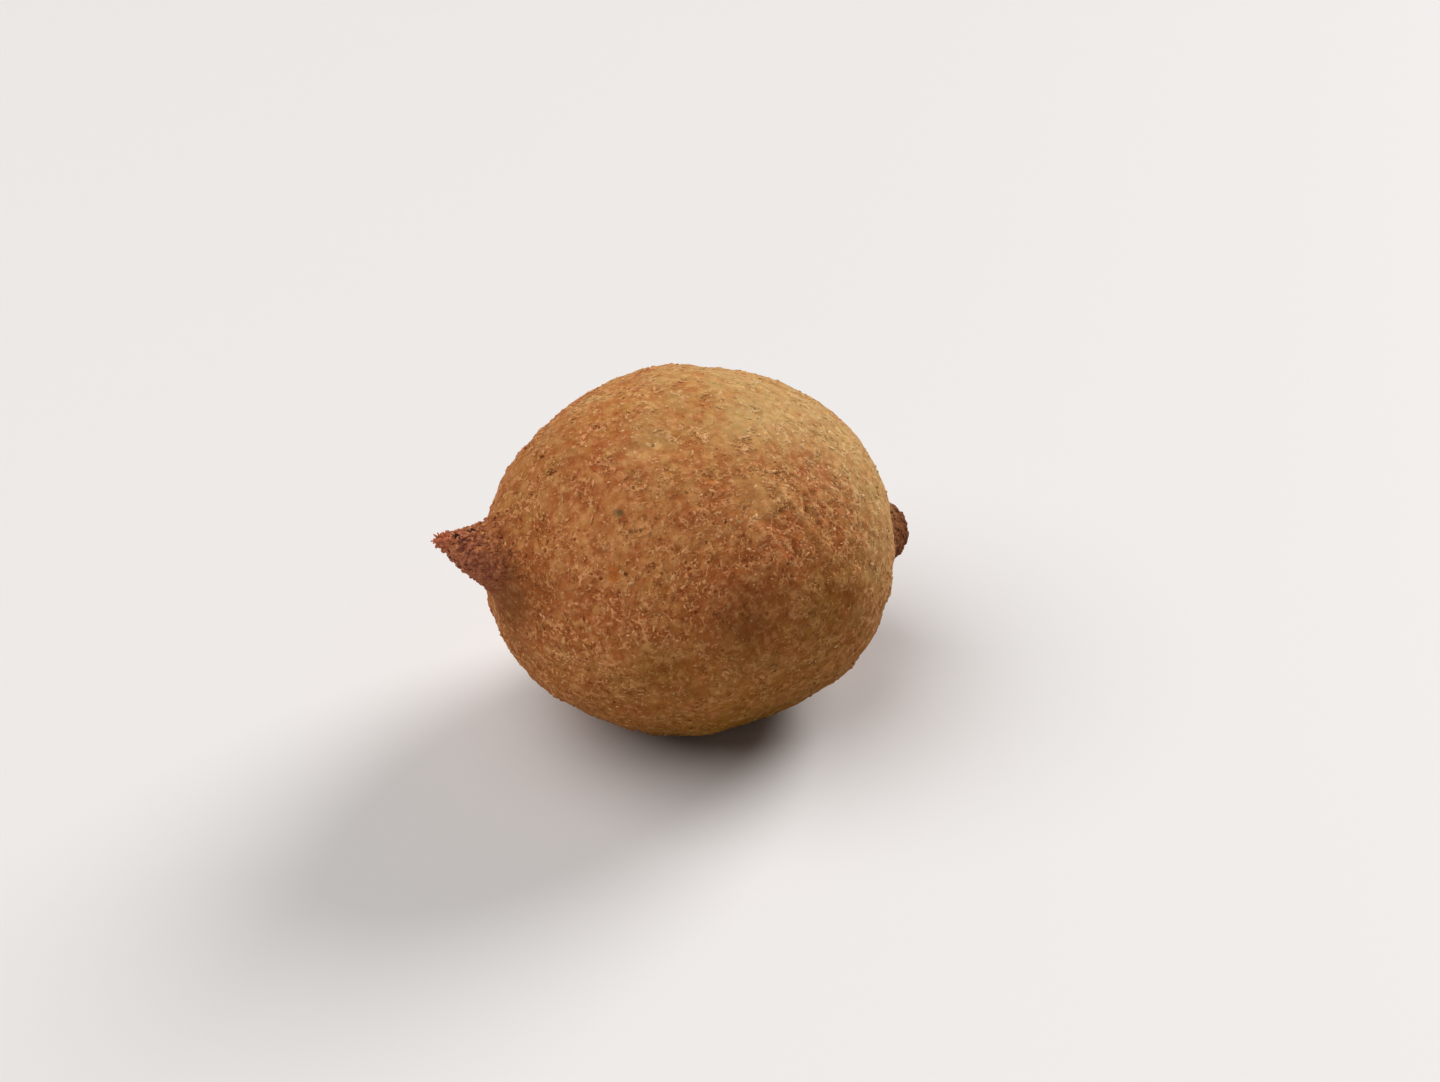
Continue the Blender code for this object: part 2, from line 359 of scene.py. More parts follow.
def finer_copy(source):
    """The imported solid's mesh as a new object, in quads where it can be, subdivided smoothly."""
    piece = bpy.data.objects.new("crust", source.data.copy())
    bpy.context.scene.collection.objects.link(piece)
    mesh = bmesh.new()
    mesh.from_mesh(piece.data)
    bmesh.ops.remove_doubles(mesh, verts=mesh.verts[:], dist=WELD_DISTANCE * MM)
    bmesh.ops.join_triangles(
        mesh,
        faces=mesh.faces[:],
        angle_face_threshold=math.radians(QUAD_ANGLE_DEG),
        angle_shape_threshold=math.radians(QUAD_ANGLE_DEG),
    )
    mesh.to_mesh(piece.data)
    mesh.free()
    subdivision = piece.modifiers.new("finer", "SUBSURF")
    subdivision.levels = FINER
    subdivision.render_levels = FINER
    evaluated = piece.evaluated_get(bpy.context.evaluated_depsgraph_get())
    finer = bpy.data.meshes.new_from_object(evaluated)
    piece.modifiers.clear()
    piece.data = finer
    return piece


class Crust:
    """The crust's corners, with what each of them needs for its relief and colour."""

    def __init__(self, piece, rng):
        self.mesh = piece.data
        self.rng = rng
        self.places = [vert.co.copy() for vert in self.mesh.vertices]
        self.normals = [vert.normal.copy() for vert in self.mesh.vertices]
        self.count = len(self.places)
        self.areas = np.zeros(self.count)
        for polygon in self.mesh.polygons:
            for index in polygon.vertices:
                self.areas[index] += polygon.area / len(polygon.vertices)
        self.tree = self.corner_tree()
        self.front_end = min(self.places, key=lambda place: place.x)
        self.back_end = max(self.places, key=lambda place: place.x)
        self.layers = {
            "pit": np.zeros(self.count),
            "rise": np.zeros(self.count),
            "bald": np.zeros(self.count),
            "open": self.layer(self.openness),
            "burn": self.layer(burnt),
            "ember": self.layer(self.embers),
            "char": self.layer(lambda place: burnt(place) if place.x > 0.0 else 0.0),
            "toast_and_shade": self.layer(lambda place: patch_sum(TOAST_AND_SHADE_PATCHES, place)),
            "fair": self.layer(lambda place: patch_sum(FAIR_PATCHES, place)),
            "ruddy": self.layer(lambda place: patch_sum(RUDDY_PATCHES, place)),
            "pale": self.layer(lambda place: patch_sum(PALE_PATCHES, place)),
        }

    def corner_tree(self):
        """A tree that finds corners by their place."""
        tree = KDTree(self.count)
        for index, place in enumerate(self.places):
            tree.insert(place, index)
        tree.balance()
        return tree

    def layer(self, value_at):
        return np.array([value_at(place) for place in self.places])

    def embers(self, place):
        return 1.0 - smooth_step(*EMBER_REACH, (place - self.front_end).length / MM)

    def from_end(self, place):
        """Distance to the nearer point's end."""
        return min((place - self.front_end).length, (place - self.back_end).length)

    def openness(self, place):
        """0 where the crust is closed and smooth, 1 where it is open and crumbly."""
        detail_width, detail_share = OPEN_DETAIL
        wide = noise.noise(place / (OPEN_WIDTH * MM))
        detail = detail_share * noise.noise(place / (detail_width * OPEN_WIDTH * MM))
        return smooth_step(*OPEN_RANGE, wide + detail + patch_sum(OPEN_PATCHES, place))

    def even(self):
        """How even the crust is at each corner, from 0 to 1: it is so where pale, or browned and
        painted in shade.
        """
        return np.clip(self.layers["pale"] + self.layers["toast_and_shade"], 0.0, 1.0)

    def kept(self, share):
        """What is left of something at each corner, down to a share of it where all is even."""
        return 1.0 - (1.0 - share) * self.even()

    def flush(self):
        """How flush with the crust its chips lie at each corner, from 0 to 1."""
        closed = CLOSED_FLUSH * (1.0 - self.layers["open"])
        return np.clip(closed + self.even(), 0.0, 1.0) * (1.0 - self.layers["burn"])

    def pick(self, count, chance):
        """Corners drawn at random, evenly by area, where a chance from 0 to 1 allows."""
        weights = self.areas * chance * (1.0 - self.layers["bald"])
        return self.rng.choice(self.count, count, replace=False, p=weights / weights.sum())

    def sink_pits(self, rise):
        """Dents the crust with pits, and returns the place and radius of each."""
        pits = []
        kept = self.kept(EVEN_PIT_SHARE)
        for picked in self.pick(PIT_COUNT, kept * (CLOSED_PITS + self.layers["open"] ** 2)):
            place = self.places[picked]
            growth = 1.0 + OPEN_PIT_GROWTH * self.layers["open"][picked] * self.rng.random()
            radius = self.rng.uniform(*PIT_RADIUS) * growth * MM
            pits.append((place, radius))
            for _, index, distance in self.tree.find_range(place, DENT_REACH * radius):
                dent = math.exp(-((distance / radius) ** 2))
                rise[index] -= PIT_DEPTH * kept[picked] * growth * MM * dent
                self.layers["pit"][index] = max(self.layers["pit"][index], dent)
        return pits

    def add_lumps(self, rise):
        """Raises the crust by its single lumps, which are bald, and lowers it by the dents."""
        for lump in LUMPS:
            middle = self.places[self.nearest((lump.x, lump.y, lump.z))]
            reach = DENT_REACH * lump.radius * MM
            for _, index, distance in self.tree.find_range(middle, reach):
                swell = math.exp(-((distance / (lump.radius * MM)) ** 2))
                rise[index] += lump.out * MM * swell
                if lump.out > 0.0:
                    self.layers["bald"][index] = max(self.layers["bald"][index], swell)

    def relief(self, index, place, kept):
        """How far the crust stands out at a corner, in mm, without its pits."""
        opened = self.layers["open"][index]
        crumbly = kept * (SMOOTH_SHARE + (1.0 - SMOOTH_SHARE) * opened)
        lumps = LUMP_HEIGHT * noise.noise(place / (LUMP_WIDTH * MM))
        crumbs = CRUMB_HEIGHT * crumbly * noise.noise(place / (CRUMB_WIDTH * MM))
        from_middle = noise.voronoi(place / (CELL_GROWTH * CRUMB_WIDTH * MM))[0][0]
        crumbs += CRUMB_HEIGHT * crumbly * (CELL_MIDDLE - from_middle)
        knobs = KNOB_HEIGHT * opened**2 * noise.noise(place / (KNOB_WIDTH * MM))
        knobs *= 1.0 - self.layers["bald"][index]
        cragged = 1.0 - smooth_step(*CRAG_REACH, self.from_end(place) / MM)
        cragged *= 1.0 - BACK_CALM * self.layers["char"][index]
        rough = noise.turbulence(place / (CRAG_WIDTH * MM), CRAG_OCTAVES, True) - CRAG_MIDDLE
        return lumps + crumbs + knobs + CRAG_HEIGHT * cragged * rough

    def shape(self):
        """Moves every corner to its place on the relief. Returns the pits."""
        rise = np.zeros(self.count)
        self.add_lumps(rise)
        pits = self.sink_pits(rise)
        kept = self.kept(EVEN_SHARE) * (1.0 - self.layers["bald"])
        for index, vert in enumerate(self.mesh.vertices):
            place = self.places[index]
            self.layers["rise"][index] = self.relief(index, place, kept[index])
            rise[index] += self.layers["rise"][index] * MM
            moved = place + self.normals[index] * rise[index]
            moved.z = max(0.0, moved.z)
            vert.co = moved
        self.places = [vert.co.copy() for vert in self.mesh.vertices]
        self.tree = self.corner_tree()
        return pits

    def nearest(self, place_mm):
        """The corner nearest to a place given in mm."""
        return self.tree.find(Vector(place_mm) * MM)[1]


def add_layers(mesh, layers):
    for name, values in layers.items():
        layer = mesh.attributes.new(name, "FLOAT", "POINT")
        layer.data.foreach_set("value", values)


def unit_ball():
    """Corners and faces of a twenty-sided ball."""
    mesh = bmesh.new()
    bmesh.ops.create_icosphere(mesh, subdivisions=1, radius=1.0)
    corners = np.array([vert.co[:] for vert in mesh.verts])
    faces = np.array([[vert.index for vert in face.verts] for face in mesh.faces])
    mesh.free()
    return corners, faces


def unit(vectors):
    return vectors / np.linalg.norm(vectors, axis=1, keepdims=True)


def drawn_sizes(rng, size, count):
    """Half the length, width and thickness of each chip, drawn from their ranges in mm."""
    return np.stack([rng.uniform(low, high, count) for low, high in size], axis=1) * MM


def chip_frames(rng, outward, along):
    """The three directions of each chip: along it, across it and out of the crust."""
    if along is None:
        along = unit(np.cross(outward, rng.normal(size=outward.shape)))
    tilted = unit(outward + TILT * rng.normal(size=outward.shape))
    across = unit(np.cross(tilted, along))
    return np.stack((along, across, np.cross(along, across)), axis=1)


def new_piece(name, points, faces, material):
    mesh = bpy.data.meshes.new(name)
    mesh.from_pydata(points.tolist(), [], faces.tolist())
    mesh.shade_smooth()
    mesh.materials.append(material)
    piece = bpy.data.objects.new(name, mesh)
    bpy.context.scene.collection.objects.link(piece)
    return piece


def make_chips(name, crust, picked, halves, material, sunk=SUNK, along=None):
    """One piece of small uneven chips, each partly sunk in the crust at a picked corner. They lie
    flat on it at random, or along the directions given."""
    rng = crust.rng
    count = len(picked)
    places = np.array([crust.places[index][:] for index in picked])
    places += rng.uniform(-ASIDE, ASIDE, places.shape) * MM
    outward = np.array([crust.normals[index][:] for index in picked])
    frames = chip_frames(rng, outward, along)
    corners, faces = unit_ball()
    uneven = 1.0 + UNEVEN * rng.uniform(-1.0, 1.0, (count, len(corners), 3))
    points = np.einsum("nki,nij->nkj", corners * uneven * halves[:, None, :], frames)
    sunk = sunk + (FLUSH_SUNK - sunk) * crust.flush()[picked]
    points += (places - (sunk * halves[:, 2])[:, None] * outward)[:, None, :]
    points = points.reshape(-1, 3)
    points[:, 2] = np.maximum(points[:, 2], 0.0)
    indices = faces[None, :, :] + len(corners) * np.arange(count)[:, None, None]
    piece = new_piece(name, points, indices.reshape(-1, 3), material)
    layers = crust.layers.items()
    add_layers(piece.data, {key: np.repeat(values[picked], len(corners)) for key, values in layers})
    return piece


def add_tone(piece, tone):
    """Says of each chip how much paler, up to 1, or darker, down to -1, than the crust it is."""
    add_layers(piece.data, {"tone": np.repeat(tone, len(piece.data.vertices) // len(tone))})


def rim_corners(crust, pits, count):
    """Corners of the crust round the pits, where grains have been left standing."""
    found = []
    for pit in crust.rng.choice(len(pits), count):
        place, radius = pits[pit]
        aside = Vector(crust.rng.normal(size=3)).normalized() * radius * RIM_REACH
        found.append(crust.tree.find(place + aside)[1])
    return np.array(found)


def make_grains(crust, pits):
    """Pale grains of bulgur: round the pits, and here and there in the crumbly places."""
    rims = int(RIM_SHARE * GRAIN_COUNT)
    chance = CLOSED_GRAINS + OPEN_GRAINS * crust.layers["open"]
    scattered = crust.pick(GRAIN_COUNT - rims, chance * crust.kept(EVEN_SHARE))
    picked = np.concatenate((rim_corners(crust, pits, rims), scattered))
    halves = drawn_sizes(crust.rng, GRAIN_SIZE, GRAIN_COUNT)
    piece = make_chips("grains", crust, picked, halves, chip_material("bulgur_grain"))
    add_tone(piece, crust.rng.uniform(*GRAIN_TONE, GRAIN_COUNT) ** GRAIN_TONE_POWER)
    return piece


def make_crumbs(crust):
    """Browned crumbs of the dough, thicker round the points."""
    chance = CLOSED_CRUMBS + OPEN_CRUMBS * crust.layers["open"]
    chance += BURNT_CRUMBS * crust.layers["burn"]
    picked = crust.pick(CRUMB_COUNT, chance * crust.kept(EVEN_SHARE))
    halves = drawn_sizes(crust.rng, CRUMB_SIZE, CRUMB_COUNT)
    piece = make_chips("crumbs", crust, picked, halves, chip_material("dough_crumb"))
    add_tone(piece, crust.rng.uniform(*CRUMB_TONE, CRUMB_COUNT))
    return piece


def make_flakes(crust):
    """Broad flat flakes of bulgur in the paler crust."""
    chance = np.clip(crust.layers["pale"], FEWEST_FLAKES, 1.0) * (1.0 - crust.layers["burn"])
    picked = crust.pick(FLAKE_COUNT, chance)
    halves = drawn_sizes(crust.rng, FLAKE_SIZE, FLAKE_COUNT)
    piece = make_chips("flakes", crust, picked, halves, chip_material("bulgur_flake"))
    add_tone(piece, crust.rng.uniform(*FLAKE_TONE, FLAKE_COUNT))
    return piece


def make_tip_crumbs(crust):
    """Coarser crumbs that make the points ragged, some burnt and some still golden."""
    chance = crust.layers["burn"] ** TIP_CRUMB_POWER * (1.0 - BACK_CALM * crust.layers["char"])
    picked = crust.pick(TIP_CRUMB_COUNT, chance)
    halves = drawn_sizes(crust.rng, TIP_CRUMB_SIZE, TIP_CRUMB_COUNT)
    piece = make_chips("tip_crumbs", crust, picked, halves, chip_material("tip_crumb"), sunk=0.0)
    add_tone(piece, crust.rng.uniform(*TIP_CRUMB_TONE, TIP_CRUMB_COUNT))
    return piece


def given_chips(crust, chips):
    """The corners and the half sizes of chips that are given one by one."""
    picked = [crust.nearest((chip.x, chip.y, chip.z)) for chip in chips]
    halves = [(chip.length, chip.width, CRUMB_THICKNESS) for chip in chips]
    return np.array(picked), np.array(halves) * MM


def make_shreds(crust):
    """The shreds that make the front end ragged."""
    picked, halves = given_chips(crust, SHREDS)
    along = np.array([towards(shred.bearing, shred.height)[:] for shred in SHREDS])
    material = chip_material("ember_shred")
    piece = make_chips("shreds", crust, picked, halves, material, sunk=0.0, along=along)
    add_tone(piece, np.zeros(len(SHREDS)))
    return piece


def make_odd_crumbs(crust):
    """The single crumbs that stand out."""
    picked, halves = given_chips(crust, ODD_CRUMBS)
    piece = make_chips("odd_crumbs", crust, picked, halves, odd_crumb_material())
    corners = len(piece.data.vertices) // len(ODD_CRUMBS)
    shades = np.repeat([(*crumb.colour, 1.0) for crumb in ODD_CRUMBS], corners, axis=0)
    layer = piece.data.attributes.new("shade", "FLOAT_COLOR", "POINT")
    layer.data.foreach_set("color", shades.ravel())
    return piece


# The noises of the materials: their width in mm, how many finer noises are added to each, and how
# strong those are
Noise = namedtuple("Noise", "width detail rough")
FRYING_NOISE = Noise(7.0, 2.0, 0.5)
RUST_NOISE = Noise(2.4, 3.0, 0.6)
BURN_NOISE = Noise(1.2, 3.0, 0.65)
CRUMBLY_NOISE = Noise(1.4, 2.0, 0.5)
LUMP_NOISE = Noise(1.05, 2.0, 0.5)
HOLE_NOISE = Noise(0.75, 3.0, 0.6)
FLECK_NOISE = Noise(0.70, 2.0, 0.55)
CURL_NOISE = Noise(1.9, 1.0, 0.5)
WISP_NOISE = Noise(1.3, 2.0, 0.5)
FINE_NOISE = Noise(0.30, 2.0, 0.6)
CHIP_NOISE = Noise(0.2, 2.0, 0.5)
MOTTLE_NOISE = Noise(0.35, 2.0, 0.5)
ODD_CRUMB_NOISE = Noise(0.3, 2.0, 0.5)

# How far a drawing is moved about, so that it comes out uneven, and how wide the moves are, in mm
Shift = namedtuple("Shift", "far width")
BURN_SHIFT = Shift(0.4, 0.8)
SPOT_SHIFT = Shift(0.22, 0.55)
CRUST_SHIFT = Shift(0.25, 0.5)
DOME_SHIFT = Shift(0.40, 0.9)
DOT_SHIFT = Shift(0.25, 0.6)
SHIFT_DETAIL = 1.0

# The cells that the domes and the dots of the crust are drawn in: their width in mm
DOME_CELL, DOT_CELL = 1.30, 1.70

# What a value is turned into, smoothly: first at its low end, then at its high end
Ramp = namedtuple("Ramp", "low high at_low at_high", defaults=(0.0, 1.0))
WHOLE = Ramp(0.0, 1.0)

# The frying's own colours
PALE_MOTTLE = Ramp(0.35, 0.65, -0.18, 0.18)
RUST_PATCHES = Ramp(0.60, 0.38, 0.0, 0.75)
RUST_IF_PALE = Ramp(0.0, 1.0, 1.0, 0.35)
RUDDY_RUST = 0.6  # how much rust a ruddy place gets
TOAST_MOTTLE = Ramp(0.55, 0.75, 0.0, 0.10)

# The burnt points
BURNT_RED_PATCHES = Ramp(0.40, 0.58)
BURN_MOTTLE = Ramp(0.30, 0.70, 0.95, 0.35)
EMBER_SHARE = 0.8

SPOT_EDGE = (1.35, 0.65)  # where a spot ends and where it is whole, as shares of its size

# Where the crust is crumbly, and how much of something is lost where it is bald, pale, or browned
# and painted in shade
CRUMBLY_MOTTLE = Ramp(0.3, 0.7, -0.3, 0.3)
CRUMBLY = Ramp(0.15, 0.85)
BALD_LOSS = 0.80
PALE_PIT_LOSS, TOAST_AND_SHADE_PIT_LOSS = 0.70, 0.60
TOAST_AND_SHADE_WISP_LOSS = 0.60
TOAST_AND_SHADE_CELL_LOSS = 0.65
TOAST_AND_SHADE_HOLLOW_LOSS = 0.35

# Holes, round dots and the rims of the dots
DOMES = Ramp(0.80, 0.05)
HOLES = Ramp(0.37, 0.29)
HOLES_IF_CRUMBLY = Ramp(0.0, 1.0, 0.25, 1.0)
CHOSEN_DOTS = Ramp(0.35, 0.50)
DOTS_IF_CRUMBLY = Ramp(0.0, 1.0, 0.35, 1.0)
DOTS = Ramp(0.20, 0.09)
RIM_MIDDLE = 0.28  # of a rim, from the middle of its dot, in cells
RIMS = Ramp(0.09, 0.0)
RIM_GAPS = Ramp(0.42, 0.58)

# Pale flecks of bulgur, and curled wisps of it
FLECKS = Ramp(0.56, 0.66)
FEWER_IF_TOAST_AND_SHADE, FEWER_IF_PALE = 0.060, 0.035
FEWER_IF_CLOSED = Ramp(0.0, 1.0, 0.040, 0.0)
CURLS = Ramp(0.10, 0.03)
WISP_GAPS = Ramp(0.42, 0.58)
WISPS_IF_CRUMBLY = Ramp(0.0, 1.0, 0.25, 1.0)

# Bumps of the crust, in mm
LUMP_BUMPS = Ramp(0.0, 1.0, 0.15, 0.31)
DOME_BUMPS = Ramp(0.0, 1.0, 0.07, 0.16)
FINE_BUMPS = 0.06
FLECK_BUMPS = 0.06
HOLE_BUMPS = 0.14
BUMPS_IF_EVEN = Ramp(0.0, 1.0, 1.0, 0.60)
BUMP_DISTANCE = 1.0

# What cells and flecks do to the crust's colour, and how strong the painted shade in the hollows
# and pits and the painted highlights on the peaks are
DOME_RISE, RELIEF_RISE = 0.20, 0.70
RUST_CELLS = Ramp(0.35, 0.15, 0.0, 0.18)
STRAW_CELLS = Ramp(0.72, 0.92, 0.0, 0.20)
HOLLOW_SHADE = Ramp(0.56, 0.38)
HOLLOW_SHADE_IF_CRUMBLY = Ramp(0.0, 1.0, 0.40, 0.60)
PEAK_HIGHLIGHTS = Ramp(0.62, 0.80, 0.0, 0.28)
FLECK_COVER = Ramp(0.0, 1.0, 0.65, 0.48)
PIT_COVER, HOLE_COVER, DOT_COVER = 0.30, 0.55, 0.80

# Chips: by their tone, which are lighter, cream, brown or spared by the burning; lighter ones are
# fewer where the crust is pale, or browned and painted in shade
TOAST_AND_SHADE_TONE_LOSS, PALE_TONE_LOSS = 0.35, 0.20
LIGHTER_TONES = Ramp(0.15, 0.95, 0.0, 0.80)
CREAM_TONES = Ramp(0.93, 1.0, 0.0, 0.6)
BROWN_TONES = Ramp(-0.8, -1.0, 0.0, 0.3)
SPARED_TONES = Ramp(0.2, 0.9, 0.0, 0.8)
CHIP_BUMPS = 0.06
ODD_CRUMB_MOTTLE = Ramp(0.35, 0.65, 0.0, 0.35)
ODD_CRUMB_BUMPS = 0.10

# How rough and how shiny the surfaces are
CRUST_ROUGHNESS = Ramp(0.35, 0.75, 0.75, 0.40)
CHIP_ROUGHNESS = Ramp(0.7, 1.0, 0.6, 0.25)
ODD_CRUMB_ROUGHNESS = 0.6
CRUST_SPECULAR, CHIP_SPECULAR = 0.03, 0.12
FAT_IOR = 1.45


class Nodes:
    """A short way to add and join the nodes of a material."""

    def __init__(self, name):
        self.material = bpy.data.materials.new(name)
        self.material.use_nodes = True
        self.tree = self.material.node_tree
        self.shader = self.tree.nodes["Principled BSDF"]

    def join(self, source, socket):
        if isinstance(source, bpy.types.NodeSocket):
            self.tree.links.new(source, socket)
        else:
            socket.default_value = source

    def math(self, operation, first, second=0.0):
        node = self.tree.nodes.new("ShaderNodeMath")
        node.operation = operation
        self.join(first, node.inputs[0])
        self.join(second, node.inputs[1])
        return node.outputs[0]

    def add(self, first, second):
        return self.math("ADD", first, second)

    def times(self, first, second):
        return self.math("MULTIPLY", first, second)

    def less(self, first, second):
        return self.math("SUBTRACT", first, second)

    def larger(self, first, second):
        return self.math("MAXIMUM", first, second)

    def left(self, value, loss):
        """1 where a value is 0, and less by the loss where it is 1."""
        return self.less(1.0, self.times(value, loss))

    def tinted(self, colour, tint):
        """A colour multiplied by another."""
        return self.vector_math("MULTIPLY", colour, tint)

    def ramp(self, value, ramp):
        """Turns a value into what the ramp says, held at both ends."""
        node = self.tree.nodes.new("ShaderNodeMapRange")
        node.interpolation_type = "SMOOTHSTEP"
        self.join(value, node.inputs["Value"])
        node.inputs["From Min"].default_value = ramp.low
        node.inputs["From Max"].default_value = ramp.high
        node.inputs["To Min"].default_value = ramp.at_low
        node.inputs["To Max"].default_value = ramp.at_high
        return node.outputs["Result"]

    def blend(self, share, first, second):
        node = self.tree.nodes.new("ShaderNodeMix")
        node.data_type = "RGBA"
        node.clamp_factor = True
        factor, _, _, _, _, _, colour_a, colour_b = node.inputs[:8]
        self.join(share, factor)
        self.join(first, colour_a)
        self.join(second, colour_b)
        return node.outputs[2]

    def place(self):
        return self.tree.nodes.new("ShaderNodeTexCoord").outputs["Object"]

    def vector_math(self, operation, *values):
        node = self.tree.nodes.new("ShaderNodeVectorMath")
        node.operation = operation
        for value, socket in zip(values, node.inputs):
            self.join(value, socket)
        return node.outputs["Value" if operation == "DISTANCE" else "Vector"]

    def shifted(self, place, shift):
        """The place moved about a little, so that what is drawn by it comes out uneven."""
        source = self.tree.nodes.new("ShaderNodeTexNoise")
        self.join(place, source.inputs["Vector"])
        source.inputs["Scale"].default_value = 1.0 / (shift.width * MM)
        source.inputs["Detail"].default_value = SHIFT_DETAIL
        reach = 2.0 * shift.far * MM
        start = self.vector_math("SUBTRACT", place, [reach / 2.0] * 3)
        return self.vector_math("MULTIPLY_ADD", source.outputs["Color"], [reach] * 3, start)

    def noise(self, place, kind):
        node = self.tree.nodes.new("ShaderNodeTexNoise")
        self.join(place, node.inputs["Vector"])
        node.inputs["Scale"].default_value = 1.0 / (kind.width * MM)
        node.inputs["Detail"].default_value = kind.detail
        node.inputs["Roughness"].default_value = kind.rough
        return node.outputs["Fac"]

    def cells(self, place, width_mm):
        """Distance from the middle of the nearest cell, in cells, and a number drawn for it."""
        node = self.tree.nodes.new("ShaderNodeTexVoronoi")
        self.join(place, node.inputs["Vector"])
        node.inputs["Scale"].default_value = 1.0 / (width_mm * MM)
        drawn = self.tree.nodes.new("ShaderNodeSeparateColor")
        self.join(node.outputs["Color"], drawn.inputs[0])
        return node.outputs["Distance"], drawn.outputs[0]

    def attribute(self, name, output="Fac"):
        node = self.tree.nodes.new("ShaderNodeAttribute")
        node.attribute_name = name
        return node.outputs[output]

    def bump(self, height, distance_mm):
        node = self.tree.nodes.new("ShaderNodeBump")
        node.inputs["Distance"].default_value = distance_mm * MM
        self.join(height, node.inputs["Height"])
        return node.outputs["Normal"]

    def finish(self, colour, bumps, roughness, specular):
        """Joins the shader to what was made for it. Returns the material."""
        self.join(colour, self.shader.inputs["Base Color"])
        self.join(bumps, self.shader.inputs["Normal"])
        self.join(roughness, self.shader.inputs["Roughness"])
        self.shader.inputs["Specular IOR Level"].default_value = specular
        return self.material


def crust_colour(n, place):
    """The frying's colours, with painted shade on the underside and under the front point, before
    pits, grains and burnt points.
    """
    frying = n.noise(place, FRYING_NOISE)
    pale = n.add(n.attribute("pale"), n.ramp(frying, PALE_MOTTLE))
    colour = n.blend(pale, GOLD, PALE_GOLD)
    colour = n.blend(n.attribute("fair"), colour, FAIR)
    rusty = n.ramp(n.noise(place, RUST_NOISE), RUST_PATCHES)
    rusty = n.times(rusty, n.ramp(pale, RUST_IF_PALE))
    rusty = n.add(rusty, n.times(n.attribute("ruddy"), RUDDY_RUST))
    colour = n.blend(rusty, colour, RUST)
    toast_and_shade = n.add(n.attribute("toast_and_shade"), n.ramp(frying, TOAST_MOTTLE))
    return n.blend(toast_and_shade, colour, n.blend(n.attribute("ruddy"), TOAST_AND_SHADE_BROWN, UMBER))


def bulgur_colour(n, pale, toasted_and_shaded):
    """The colour of the bulgur that shows, by how pale the crust is there, or how browned and
    painted in shade.
    """
    return n.blend(toasted_and_shaded, n.blend(pale, PEACH, CREAM), TAN)


def burnt_over(n, place, colour, spared=0.0):
    """The scorched colours of the points over another colour, less so where it is spared."""
    patchy = n.noise(n.shifted(place, BURN_SHIFT), BURN_NOISE)
    dark = n.blend(n.ramp(patchy, BURNT_RED_PATCHES), SCORCHED, BURNT_RED)
    burn = n.times(n.attribute("burn"), n.ramp(patchy, BURN_MOTTLE))
    colour = n.blend(n.times(burn, n.less(1.0, spared)), colour, dark)
    colour = n.blend(n.attribute("char"), colour, n.tinted(colour, CHAR_TINT))
    return n.blend(n.times(n.attribute("ember"), EMBER_SHARE), colour, EMBER)


def spotted(n, place, colour, crust):
    """The small spots over another colour."""
    uneven = n.shifted(place, SPOT_SHIFT)
    for spot in SPOTS:
        middle = crust.places[crust.nearest((spot.x, spot.y, spot.z))]
        far = n.vector_math("DISTANCE", uneven, middle[:])
        outer, inner = (share * spot.size * MM for share in SPOT_EDGE)
        cover = n.ramp(far, Ramp(outer, inner, 0.0, spot.strength))
        colour = n.blend(cover, colour, spot.colour)
    return colour


